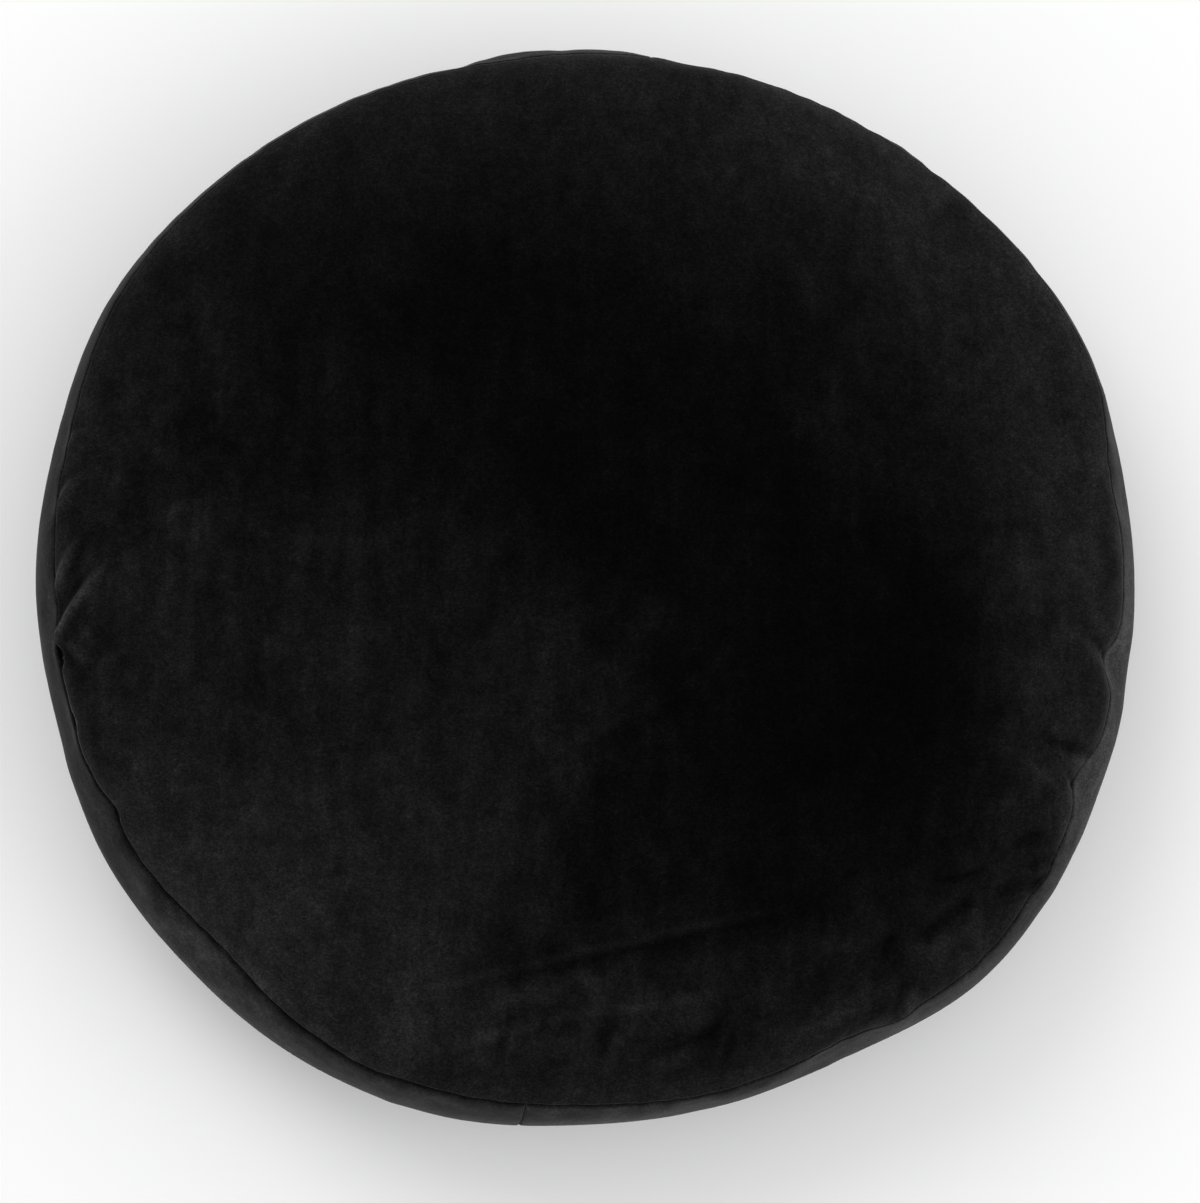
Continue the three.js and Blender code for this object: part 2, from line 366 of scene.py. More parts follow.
# How the cover takes up its outline and the lines of its seams
fitting = {
    "looseCells": 9,  # cells each way over which a seam's own small strays are told from its line
    "looseShare": 0.5,  # how much of those strays stays
    "bulgeCells": 1,  # cells each way over which the band's bulge is evened out
    "strayStart": 0.5,  # share of the way up the band from which it follows the front seam's strays
    "broadCells": 7,  # cells each way over which a panel's broad fit is told from those strays
    "strayReach": 0.16,  # share of a panel's radius over which they fade out
    "swayHeight": 30 * mm,  # height of the stretch that follows the front seam's own height
    "swaySpan": (170 * mm, 220 * mm),  # how far out that sets in and is full
}


def fitOutline(points, rings):
    # the seams run along their lines, and the fullest part of the band meets the outline
    p, f = pattern, fitting
    front, back = rings[(1, p["panelRings"])], rings[(-1, p["panelRings"])]
    column = np.array([back] + [rings[(0, n)] for n in range(1, p["bandCuts"] + 1)] + [front])
    radius, angle = polarOf(points)
    wanted = {}
    for side, seam, inset in ((1, front, frontInset), (-1, back, backInset)):
        line = (rowsAt(outlineRows, bandReach, angle[seam]) - rowsAt(outlineRows, inset, angle[seam])) * mm
        loose = radius[seam] - smoothRound(radius[seam], f["looseCells"])
        wanted[side] = line + loose * f["looseShare"]
    at = angle[front]
    stray = bellsAt(seamStrays, at) * mm
    draw = random.Random(stitches["seed"])
    for _ in range(stitches["count"]):
        wave = np.cos(draw.randint(*stitches["waves"]) * np.radians(at) + draw.uniform(0, fullTurn))
        stray += stitches["wobble"] * math.sqrt(2 / stitches["count"]) * wave
    climb = np.linspace(0, 1, len(column))[:, None]
    chord = radius[back] * (1 - climb) + radius[front] * climb
    newChord = wanted[-1] * (1 - climb) + wanted[1] * climb
    bulge = radius[column] - chord
    middle = len(column) // 2
    reach = rowsAt(outlineRows, bandReach, angle[column[middle]]) * mm
    room = (reach - newChord[middle]) / smoothRound(bulge.max(axis=0), f["bulgeCells"])
    wanted[1] += stray
    scale = np.ones(len(points))
    newRadius = newChord + bulge * room + stray * ease(climb, f["strayStart"], 1)
    scale[column] = newRadius / radius[column]
    # the panels follow their seam, and its strays fade out from it
    for side, seam in ((1, front), (-1, back)):
        order = np.argsort(angle[seam])
        whole = wanted[side] / radius[seam]
        calm = smoothRound(whole, f["broadCells"])
        inner = [ring for (s, n), ring in rings.items() if s == side and n < p["panelRings"]]
        mine = np.concatenate(inner)
        seamRadius = np.interp(angle[mine], angle[seam][order], radius[seam][order], period=360)
        fromSeam = 1 - radius[mine] / seamRadius
        broad = np.interp(angle[mine], angle[seam][order], calm[order], period=360)
        local = np.interp(angle[mine], angle[seam][order], (whole - calm)[order], period=360)
        fading = 1 - ease(fromSeam, 0, f["strayReach"])
        scale[mine] = 1 + (broad - 1) * (1 - fromSeam) + local * fading
    points[:, :2] *= scale[:, None]


def smoothRound(values, reach):
    return sum(np.roll(values, k) for k in range(-reach, reach + 1)) / (2 * reach + 1)


def layDown(points, rings):
    # seams at their heights, crown at its height, and the back pressed flat where it rests
    p, f = pattern, fitting
    front, back = rings[(1, p["panelRings"])], rings[(-1, p["panelRings"])]
    low, high = points[back, 2].mean(), points[front, 2].mean()
    climb = (points[:, 2] - low) / (high - low)
    points[:, 2] = p["backSeamHeight"] + climb * (p["frontSeamHeight"] - p["backSeamHeight"])
    over = points[:, 2] > p["frontSeamHeight"]
    crown = (p["topHeight"] - p["frontSeamHeight"]) / (points[:, 2].max() - p["frontSeamHeight"])
    points[over, 2] = p["frontSeamHeight"] + (points[over, 2] - p["frontSeamHeight"]) * crown
    radius, angle = polarOf(points)
    sway = rowsAt(outlineRows, frontHeight, angle) * mm - p["frontSeamHeight"]
    sway *= bell(points[:, 2] - p["frontSeamHeight"], f["swayHeight"])
    points[:, 2] += sway * ease(radius, *f["swaySpan"])
    soft = settling["flatness"]
    points[:, 2] = (points[:, 2] + np.sqrt(points[:, 2] ** 2 + soft ** 2)) / 2
    points[:, 2] -= points[:, 2].min()


# Sewing: how the stitches draw the cloth in
sewing = {
    "lip": 1.5 * mm,  # from the stitching to where the cloth turns in
    "lipShare": 0.06,  # how much of the depth is reached there
    "slit": 0.35 * mm,  # half the width of the gap between the lips
    "backDepth": 2.2 * mm,
    "joinDepth": 1.0 * mm,
    "joinSpan": (7 * mm, 11 * mm),  # how far from the seams that depth sets in and is full
    "joins": [263.2, 83.7],  # degrees at which the band's two lengths are sewn together
}


def innerVerts(made):
    channel = set(made["faces"])
    return [v for v in made["verts"] if v.is_valid and all(face in channel for face in v.link_faces)]


def sewSeams(mesh, rings):
    # a narrow gap between two soft lips along both seams and down the two joins of the band
    s, p = sewing, pattern
    bm = bmesh.new()
    bm.from_mesh(mesh)
    crease = bm.edges.layers.float.new("crease_edge")
    bm.verts.ensure_lookup_table()
    lines = [edge for edge in bm.edges if edge.seam]
    front = rings[(1, p["panelRings"])]
    places = np.array([bm.verts[i].co for i in front])
    for at in s["joins"]:
        k = int(np.argmin(np.abs(turnBetween(polarOf(places)[1], at))))
        column = [rings[(-1, p["panelRings"])][k]] + [rings[(0, n)][k] for n in range(1, p["bandCuts"] + 1)]
        column.append(front[k])
        for a, b in zip(column, column[1:]):
            lines.append(bm.edges.get((bm.verts[a], bm.verts[b])))
    for width, share in ((s["lip"], s["lipShare"]), (s["slit"], 1)):
        made = bmesh.ops.bevel(bm, geom=lines, offset=width, segments=2, profile=0.5,
                               affect="EDGES", material=-1, clamp_overlap=True)
        middle = innerVerts(made)
        bm.normal_update()
        for v in middle:
            aboveFront, aboveBack = v.co.z - p["frontSeamHeight"], v.co.z - p["backSeamHeight"]
            depth = s["backDepth"]
            if abs(aboveFront) < abs(aboveBack):
                depth = rowsAt(outlineRows, frontDepth, polarOf(np.array(v.co))[1]) * mm
            onJoin = ease(min(abs(aboveFront), abs(aboveBack)), *s["joinSpan"])
            v.co -= v.normal * share * (depth * (1 - onJoin) + s["joinDepth"] * onJoin)
        inner = set(middle)
        lines = [edge for edge in bm.edges if edge.verts[0] in inner and edge.verts[1] in inner]
    for edge in lines:
        edge[crease] = 1.0
    bm.to_mesh(mesh)
    bm.free()


def seamLine(points, ring):
    # (angles, radii, heights) of a seam, sorted by angle
    radius, angle = polarOf(points[ring])
    order = np.argsort(angle)
    return angle[order], radius[order], points[ring, 2][order]


# Folds in the cloth, in millimetres from the outline's middle as the front panel is seen: from, to,
# how far the middle bows to the left of that way, width, height of the ridge, and depth of the
# trough beside it with the side that it is on (1 left, -1 right)
folds = [
    # from, to, bow, width, rise, trough, side
    ((-219, 50), (-204, 60), 1.0, 4.5, 0.8, 0.3, 1), ((-221, 21), (-204, 41), 2.6, 5, 1.4, 0.6, 1),
    ((-221, -17), (-208, 17), 1.0, 3.8, 2.0, 0.6, -1), ((-221, -34), (-196, 5), 1.4, 4.2, 2.6, 0.8, 1),
    ((-213, -29), (-205, -40), 0.0, 4.5, 1.2, 0.9, -1), ((217, -39), (200, -22), 0.0, 5, 0.7, 0.9, -1),
    ((187, -67), (212, -73), 0.3, 5, -1.6, 0.0, 1), ((192, -73.5), (207, -75.5), 0.0, 4, 0.9, 0.0, 1),
    ((197, -79), (203, -88), 0.0, 3.5, -0.9, 0.0, 1), ((173, -111), (189, -103), 0.0, 5.5, -1.0, 0.0, 1),
    ((180, -119.5), (193, -112), 0.0, 4.5, -0.9, 0.0, 1), ((191, -124), (165, -131), -1.0, 6, -1.5, -0.5, 1),
    ((163, -119), (133, -124.5), 2.6, 4, -1.0, 0.0, 1), ((157, -132), (130, -151), 1.0, 8, -1.6, -0.4, 1),
    ((122, -147), (118, -161), 0.0, 6, -1.2, 0.0, 1), ((115.5, -160), (114.5, -177), 0.0, 5, -0.8, 0.0, 1),
    ((129, -166), (123.5, -185), 0.0, 5, -1.3, -0.7, 1), ((78, -137.5), (-76, -173), -0.8, 4, 0.8, 0.65, 1),
    ((44, -175), (-68, -196), -3.5, 5, 0.5, 0.3, 1), ((52, -38), (-20, -76), 2.5, 6, 0.5, 0.25, 1),
    ((54, -185), (16, -200), 1.0, 4, -0.6, 0.0, 1), ((159, 18.5), (195, 12), 6.0, 5, -0.7, 0.0, 1),
]

# Gaps that the stitches pull open beside the seam, with their sizes in millimetres
pockets = [
    # angle, length, width, depth
    (189, 7.5, 3.5, 3.6), (196.2, 6, 2, 1.6), (206.9, 5, 2, 1.4), (337.4, 5, 2.5, 0.8),
    (328.6, 4, 2, 0.5),
]

# Single strokes and marks in the nap, and painted shade along the lower crease, in millimetres and degrees:
# middle, half length, half width, turn of the length, how sharply they end, and how much lighter or darker,
# as a power of two
napMarksAndShade = [
    # x, y, half length, half width, turn, sharpness, strength
    # the first row: painted shade along the lower crease and at its right end, and lighter beside it
    (38, -151.5, 22, 3.5, 13, 2, -0.4), (80, -142, 24, 10, 10, 3, -0.85), (14, -145, 20, 5, 13, 2, 0.55),
    (-12, -171, 14, 7, 0, 2, 0.8), (88, -127, 18, 8, 10, 2, -0.35), (-33, -173, 12, 5, 0, 2, 0.8),
    (106, -150, 17, 4, 14, 2, 0.6), (137, -153, 8, 4, 20, 2, 0.5), (132, -164, 7, 5, 90, 2, -0.5),
    (17, -178, 26, 3.2, 4, 2, 0.35), (-35, -187, 22, 3, 12, 2, 0.2), (93, -184, 24, 6, 33, 2, 0.85),
    (-2, -169, 8, 3.5, -30, 2, 0.65), (-56, -196, 20, 8, 12, 2, 0.7), (156, -141, 12, 8, 0, 2, 0.4),
    (141, -160, 14, 9, 0, 2, 0.4), (5.5, -189, 8, 2.6, 76, 2, -1.1), (37, -191, 15, 4, 20, 2, -1.0),
    (49, -191, 10, 3.2, 75, 2, -1.2), (58, -193, 10, 3, 65, 2, -1.1), (-36.5, -187, 9, 2.4, 78, 2, -1.0),
    (-19, -184, 6, 2.4, 75, 2, -0.9),
    (168, -94, 9, 4, 70, 2, 0.45), (182, -80, 16, 3, -42, 2, 0.7), (180, -2, 12, 5, 90, 2, 0.6),
    (161, 23, 6, 2.4, 10, 2, 0.5), (-200.5, -30, 6, 3, 90, 2, -0.4), (187.5, -89.5, 4.5, 3, 0, 2, -0.5),
    (22, -20, 15, 4, 51, 2, 0.3), (2, -20, 12, 4, 70, 2, 0.3), (28.5, -39, 12, 6, -32, 2, -0.4),
    (-8, -81, 9, 3, 100, 2, 0.4), (0, -89, 7, 3, 100, 2, -0.4), (13, -129, 8, 2.6, -60, 2, 0.45),
    (91, 117, 10, 2.6, 88, 2, 0.7), (83.5, 59, 19, 2.4, 84, 2, 0.6), (98, 74, 10, 2.6, 86, 2, 0.5),
    (112, 85, 19, 2.4, 93, 2, 0.5), (78, 91, 16, 2.6, 90, 2, -0.4), (153, 98, 7, 3, -25, 2, -0.6),
    (-92, 55, 22, 2.4, 90, 2, -0.45), (-80, 18, 24, 2.4, 90, 2, -0.4), (-109, 80, 12, 3, 88, 2, 0.5),
    (-155, 64, 12, 2.6, 90, 2, 0.5), (-167, 62, 5, 4, 0, 2, -0.6), (-105, -100, 4, 4, 0, 2, -0.5),
    (-131, 96, 14, 3, 82, 2, 0.4), (-157, 106, 14, 2.4, 88, 2, 0.3), (-140, 72, 12, 3, 90, 2, -0.45),
    (-166, 96, 13, 7, 85, 2, -0.65), (-62, 122, 16, 12, 0, 2, 0.35), (-210, -36, 6, 2.6, 75, 2, 0.5),
    (-206.5, -44, 7, 2.6, 60, 2, -0.6), (-202, -41, 7, 2.6, 60, 2, 0.5),
]


def inZones(rows, x, y):
    total = np.zeros(len(x))
    for atX, atY, length, width, turn, sharpness, strength in rows:
        c, s = math.cos(math.radians(turn)), math.sin(math.radians(turn))
        offsetX, offsetY = (x - atX * mm) / mm, (y - atY * mm) / mm
        along, across = c * offsetX + s * offsetY, c * offsetY - s * offsetX
        total += strength * np.exp(-np.hypot(along / length, across / width) ** sharpness)
    return total


# How folds and pockets run out, and the painted highlight and shade, with paler nap, that show them
foldForm = {
    "rising": (-0.08, 0.15),  # shares of its length over which a fold rises ...
    "fading": (0.55, 1.1),  # ... and dies away
    "troughAside": 0.9,  # how far aside its trough lies, in its widths
    "highlightWidth": 0.9,  # how wide the painted highlight and paler nap along it is, in its widths
    "seamSpan": (0.3 * mm, 2.5 * mm),  # how far from the front seam folds set in and are full
    "pocketAside": 0.4,  # how far from the seam a pocket's middle lies, in its widths
    "pocketShade": 0.6,  # painted shade: how much darker it is in it, for each millimetre of its depth
}


def alongFold(x, y, start, end, bow):
    # share of the way along a fold, and distance to the left of it
    start, end = np.array(start) * mm, np.array(end) * mm
    way = end - start
    length = math.hypot(*way)
    way = way / length
    offsetX, offsetY = x - start[0], y - start[1]
    travel = (offsetX * way[0] + offsetY * way[1]) / length
    bowed = bow * mm * np.sin(math.pi * np.clip(travel, 0, 1))
    return travel, way[0] * offsetY - way[1] * offsetX - bowed


def foldRelief(x, y):
    # how far the folds lift the cloth, and the painted highlight on their ridges and painted shade in their
    # troughs, partly paler nap
    f = foldForm
    relief, foldNapLightAndShade = np.zeros(len(x)), np.zeros(len(x))
    for start, end, bow, width, rise, trough, side in folds:
        travel, left = alongFold(x, y, start, end, bow)
        width, rise, trough = width * mm, rise * mm, trough * mm
        ends = ease(travel, *f["rising"]) * (1 - ease(travel, *f["fading"]))
        beside = trough * bell(left - side * width * f["troughAside"], width)
        relief += ends * (rise * bell(left, width) - beside)
        # painted highlight along the ridge, painted shade in the trough beside it
        foldNapLightAndShade += ends * (rise * bell(left, width * f["highlightWidth"]) - beside) / mm
    return relief, foldNapLightAndShade


# Smaller cells for the folds and the marks
finerCells = {
    "passes": ((5 * mm, True), (1 * mm, False)),  # each halves them: how far beside folds, marks too or not
    "markEdge": 0.2,  # strength at which a mark ends
    "pastEnds": 0.1,  # how far past a fold's ends, as a share of its length
    "belowSeam": 6 * mm,  # how far below the front seam
    "roundness": 0.6,  # how much new points follow the cloth's curve
}


def nearDetail(points, reach, alsoMarks):
    # which points lie within that reach of a fold on the front panel, or on one of the marks
    c = finerCells
    x, y = points[:, 0], points[:, 1]
    marks = inZones([row[:5] + (2, 1) for row in napMarksAndShade], x, y)  # all soft and of strength 1
    near = (marks > c["markEdge"]) & alsoMarks
    for start, end, bow, width, *_ in folds:
        travel, left = alongFold(x, y, start, end, bow)
        alongside = (travel > -c["pastEnds"]) & (travel < 1 + c["pastEnds"])
        near |= alongside & (np.abs(left) < width * mm + reach)
    return near & (points[:, 2] > pattern["frontSeamHeight"] - c["belowSeam"])


def refineCells(mesh):
    c = finerCells
    bm = bmesh.new()
    bm.from_mesh(mesh)
    for reach, alsoMarks in c["passes"]:
        near = nearDetail(np.array([v.co for v in bm.verts]), reach, alsoMarks)
        bm.verts.index_update()
        edges = [e for e in bm.edges if near[e.verts[0].index] and near[e.verts[1].index]]
        bmesh.ops.subdivide_edges(bm, edges=edges, cuts=1, smooth=c["roundness"], use_grid_fill=True)
    for face in bm.faces:
        face.smooth = True
    bm.to_mesh(mesh)
    bm.free()
    mesh.update()


def ontoPanel(points, line):
    # how far a point lies from the front seam, on the panel's side of it
    radius, angle = polarOf(points)
    across = radius - np.interp(angle, line[0], line[1], period=360)
    above = points[:, 2] - np.interp(angle, line[0], line[2], period=360)
    slope = math.radians(pattern["rimSlope"])
    return above * math.cos(slope) - across * math.sin(slope)


def frontSide(points):
    return points[:, 2] > pattern["frontSeamHeight"] - pattern["frontDrop"]


def drawFolds(mesh, line):
    # returns the painted highlight along the folds and the painted shade beside them and in the pockets,
    # partly paler nap
    f = foldForm
    points, normals = pointsOf(mesh), pointsOf(mesh, "normal")
    radius, angle = polarOf(points)
    onto = ontoPanel(points, line)
    onFront = ease(onto, *f["seamSpan"]) * frontSide(points)
    relief, foldNapLightAndShade = foldRelief(points[:, 0], points[:, 1])
    relief, foldNapLightAndShade = relief * onFront, foldNapLightAndShade * onFront
    for at, length, width, depth in pockets:
        turned = np.radians(turnBetween(angle, at)) * radius
        pit = bell(turned, length * mm) * bell(onto - f["pocketAside"] * width * mm, width * mm)
        pit *= frontSide(points)
        relief -= depth * mm * pit
        # painted shade in the pocket
        foldNapLightAndShade -= f["pocketShade"] * depth * pit
    setPoints(mesh, points + normals * relief[:, None])
    return foldNapLightAndShade


cover = cutAndSew()
points = pointsOf(cover.data)
rings = ringsOf(points)
easeTheCloth(points)
setPoints(cover.data, points)
print("cover cut and sewn:", len(cover.data.polygons), "cells")
fillCover(cover, [rings[(1, pattern["panelRings"])], rings[(-1, pattern["panelRings"])]])
print("cover filled")
points = pointsOf(cover.data)
calmPuckers(points, rings)
fitOutline(points, rings)
layDown(points, rings)
setPoints(cover.data, points)
line = seamLine(points, rings[(1, pattern["panelRings"])])
sewSeams(cover.data, rings)
smoothing = cover.modifiers.new("smoothing", "SUBSURF")
smoothing.levels = smoothing.render_levels = 1
takeShape(cover)
refineCells(cover.data)
onto = ontoPanel(pointsOf(cover.data), line)
foldNapLightAndShade = drawFolds(cover.data, line)
print("cover sewn and folded:", len(cover.data.polygons), "cells")


# Velvet. Zones of the front that hands brushed dark or light, written like the marks above
brushedZones = [
    # x, y, half length, half width, turn, sharpness, strength
    (-105, -122, 88, 44, 0, 2, 0.6), (0, -180, 62, 22, 8, 3, 0.5), (-112, 142, 75, 38, 25, 2, -0.55),
    (115, 130, 75, 55, -40, 2, 0.5), (192, 12, 34, 100, 0, 4, 0.45), (155, -138, 38, 28, 40, 2, -0.45),
    (115, -60, 60, 60, 0, 2, -0.3), (20, 90, 70, 60, 0, 2, 0.3), (-184, -44, 28, 62, 0, 2, -0.5),
    (-110, 58, 48, 24, 8, 2, 0.35), (100, -155, 40, 14, 12, 2, -0.3), (-75, -12, 30, 18, 0, 2, -0.3),
    (162, -80, 16, 18, 0, 2, -0.3), (188, 58, 18, 28, 0, 2, -0.25), (60, -112, 14, 20, 0, 2, 0.35),
    (158, 2, 22, 16, 0, 2, 0.25),
]

# Where the nap is more or less ruffled than elsewhere, in the same way
ruffledZones = [
    # x, y, half length, half width, turn, sharpness, strength
    (-165, 30, 80, 45, 90, 2, 0.4), (-60, -60, 100, 60, 0, 2, 0.15), (25, -70, 50, 45, 90, 2, 0.1),
    (60, -176, 90, 26, 8, 2, 0.35), (155, -125, 40, 35, 0, 2, 0.15), (185, -50, 80, 28, 90, 2, 0.25),
    (95, -50, 60, 60, 0, 2, -0.25), (-110, 120, 80, 60, 0, 2, -0.2), (0, 100, 80, 60, 0, 2, -0.1),
]

# Patches of the front brushed one way, with the corners of their outline, in the same millimetres
brushedPatches = [
    {
        # the dark sweep from the upper left to the lower right
        "strength": -0.65,
        "softness": 12,
        "corners": [
            (-72, 140), (5, 122), (46, 100), (78, 62), (103, 27), (143, 13), (161, -14), (160, -62),
            (159, -107), (149, -125), (115, -129), (75, -135), (58, -118), (48, -95), (36, -75),
            (26, -57), (49, -40), (38, -30), (18, -14), (-15, -1), (-31, 23), (-51, 55), (-76, 100),
        ],
    },
    {
        # the light lower left
        "strength": 1.0,
        "softness": 17,
        "corners": [
            (-196, 22), (-157, 29), (-120, 27), (-75, 21), (-50, 9), (-29, -13), (5, -35), (16, -57),
            (-3, -76), (-13, -107), (-15, -143), (-52, -180), (-88, -210), (-140, -185), (-180, -135),
            (-206, -85), (-202, -30),
        ],
    },
]

wander = {"reach": 4.5 * mm, "shortest": 16 * mm, "longest": 60 * mm, "waves": 16}  # of their edges

# Where the band's painted sheen stands lighter or darker: angle, width in degrees, how much
bandSheenTones = [
    (352, 28, 0.7), (333, 16, 0.3), (318, 14, -0.2), (287, 14, -0.2), (225, 60, 0.35), (120, 60, 0.5),
    (62, 44, 0.25), (12, 12, -0.3),
]

# Where the lips of the front seam catch the light, in the same way
lipTones = [(181, 42, 0.4)]

# Where that seam gapes and shades the band beside it
shadedSeam = {"angle": 233, "width": 72}

# How light the nap stands, with painted sheen and shade laid into the same colour, as powers of two above
# the darkest
napAndLightTone = {
    "paintedRimSheen": 1.5,  # painted sheen: how much lighter towards the front's rim
    "rimSpan": (126 * mm, 218 * mm),  # how far out that sets in and is full
    "rimSway": 0.22,  # how much more of it towards the upper right, and less at the lower left
    "rimTurn": 36,  # degrees at which it is most
    "paintedEdgeSheen": 0.7,  # more painted sheen in the last stretch before the seam
    "edgeSpan": (1 * mm, 14 * mm),
    "seamBlend": (-1.4 * mm, 1 * mm),  # where across the seam the band's tone gives way to the front's
    "markDrift": 0.3,  # how much of the zones' drift the marks follow
    # painted sheen that makes the band lighter than the front
    "paintedBandSheen": 2.85,
    "bandSway": 0.5,  # how much more of that painted sheen the band has at the right, and less at the left
    "bandTurn": -10,  # degrees at which it is lightest
    "lipShade": 0.5,  # painted shade: how much darker the band stands right beside the front seam
    "lipSpan": (0.5 * mm, 4 * mm),
    "bandShade": 0.7,  # and more broadly where that seam gapes
    "shadeSpan": (1 * mm, 9 * mm),
    "seamShade": 1.0,  # in the seam itself there
    "seamWidth": 1.7 * mm,
    "lipMiddle": 0.9 * mm,  # how far from the stitching the light catches the lips
    "lipWidth": 1.2 * mm,
    "backLight": 1.6,
    "backBlend": 4 * mm,  # how far below the back seam that is full
    "foldLight": 0.75,  # painted highlight and shade of folds and pockets, partly paler nap, for each millimetre that a fold rises
    "ruffle": 0.75,  # how much of the coarser variation shows where no zone says otherwise
    "bandRuffle": 0.35,  # more of it on the band beside the shaded seam
}

velvet = {
    "darkest": 0.0023,  # linear base colour before the nap's variation and the painted sheen and shade
    "noises": {
        # across, scale lengthways (less is longer), detail, roughness, turn, distortion, weight
        "blotches": (55 * mm, 0.8, 3, 0.5, 0, 0.3, 1.6),
        "patches": (18 * mm, 0.6, 2, 0.5, 0.08, 0.4, 1.7),
        "dents": (10 * mm, 0.8, 1, 0.5, 0, 0.2, 6),
        "strokes": (7 * mm, 0.16, 1, 0.5, -0.05, 0, 1.2),
        "crush": (7 * mm, 0.8, 1, 0.5, -0.1, 0, 1.3),
        "tufts": (2.2 * mm, 0.9, 2, 0.6, 0, 0, 1.8),
        "pile": (1.0 * mm, 1.3, 2, 0.6, 0, 0, 3.6),
    },
    "roughness": 0.92,
    "roughSway": 0.12,  # how much it varies with the patches
    "specular": 0.006,
    "sheen": 0.11,
    "sheenRoughness": 0.35,
    "sheenTint": (1.0, 1.0, 1.0, 1),
    "pileHeight": 0.35 * mm,
    "crushRise": 0.9,  # shares of that height
    "pileRise": 0.5,
    "bumpStrength": 0.6,
}


def wanderOf(x, y, seed):
    # smooth seeded drift, up to about the wander's reach
    w, draw = wander, random.Random(seed)
    total = np.zeros(len(x))
    for _ in range(w["waves"]):
        turn, wave = draw.uniform(0, fullTurn), draw.uniform(w["shortest"], w["longest"])
        way = x * math.cos(turn) + y * math.sin(turn)
        total += np.sin(way * fullTurn / wave + draw.uniform(0, fullTurn))
    return w["reach"] * total * math.sqrt(2 / w["waves"])


def insideOf(corners, x, y, softness):
    # 1 inside an outline and 0 outside, easing across its edge
    away, inside = np.full(len(x), np.inf), np.zeros(len(x), dtype=bool)
    ends = np.array(corners) * mm
    for (ax, ay), (bx, by) in zip(ends, np.roll(ends, -1, axis=0)):
        along = ((x - ax) * (bx - ax) + (y - ay) * (by - ay)) / ((bx - ax) ** 2 + (by - ay) ** 2)
        along = np.clip(along, 0, 1)
        away = np.minimum(away, np.hypot(x - ax - along * (bx - ax), y - ay - along * (by - ay)))
        crossing = (ay > y) != (by > y)
        inside[crossing] ^= x[crossing] < ax + (bx - ax) * (y[crossing] - ay) / (by - ay)
    return ease(np.where(inside, away, -away), -softness * mm, softness * mm)


def paintNapAndLight(mesh, foldNapLightAndShade, onto):
    # how light the nap stands at each point, with painted sheen on the front's rim and the band and painted
    # shade by the seams and folds, and how ruffled it is
    t = napAndLightTone
    points = pointsOf(mesh)
    radius, angle = polarOf(points)
    x, y = points[:, 0], points[:, 1]
    onFront = ease(onto, *t["seamBlend"]) * frontSide(points)
    backSeam = pattern["backSeamHeight"]
    onBack = 1 - ease(points[:, 2], backSeam - t["backBlend"], backSeam)
    # painted sheen towards the front's rim and in the last stretch before the seam
    sway = 1 + t["rimSway"] * np.cos(np.radians(angle - t["rimTurn"]))
    front = t["paintedRimSheen"] * sway * ease(radius, *t["rimSpan"])
    front += t["paintedEdgeSheen"] * (1 - ease(onto, *t["edgeSpan"]))
    driftX, driftY = x + wanderOf(x, y, 1), y + wanderOf(x, y, 2)
    for patch in brushedPatches:
        front += patch["strength"] * insideOf(patch["corners"], driftX, driftY, patch["softness"])
    front += inZones(brushedZones, driftX, driftY)
    front += inZones(napMarksAndShade, x + t["markDrift"] * (driftX - x), y + t["markDrift"] * (driftY - y))
    shaded = bell(turnBetween(angle, shadedSeam["angle"]), shadedSeam["width"])
    # painted sheen on the band, and painted shade on it beside the front seam
    band = t["paintedBandSheen"] + t["bandSway"] * np.cos(np.radians(angle - t["bandTurn"]))
    band += bellsAt(bandSheenTones, angle)
    band -= t["lipShade"] * (1 - ease(-onto, *t["lipSpan"]))
    band -= t["bandShade"] * shaded * (1 - ease(-onto, *t["shadeSpan"]))
    napAndPaintedLight = onFront * front + (1 - onFront) * band * (1 - onBack) + onBack * t["backLight"]
    # painted highlight and shade of the folds and pockets
    napAndPaintedLight += t["foldLight"] * foldNapLightAndShade
    napAndPaintedLight += bellsAt(lipTones, angle) * bell(np.abs(onto) - t["lipMiddle"], t["lipWidth"])
    napAndPaintedLight -= t["seamShade"] * shaded * bell(onto, t["seamWidth"])
    ruffle = t["ruffle"] + onFront * inZones(ruffledZones, x, y)
    ruffle += (1 - onFront) * t["bandRuffle"] * shaded
    for name, values in (("napAndPaintedLight", napAndPaintedLight), ("ruffle", ruffle)):
        layer = mesh.attributes.new(name, "FLOAT", "POINT")
        layer.data.foreach_set("value", values)


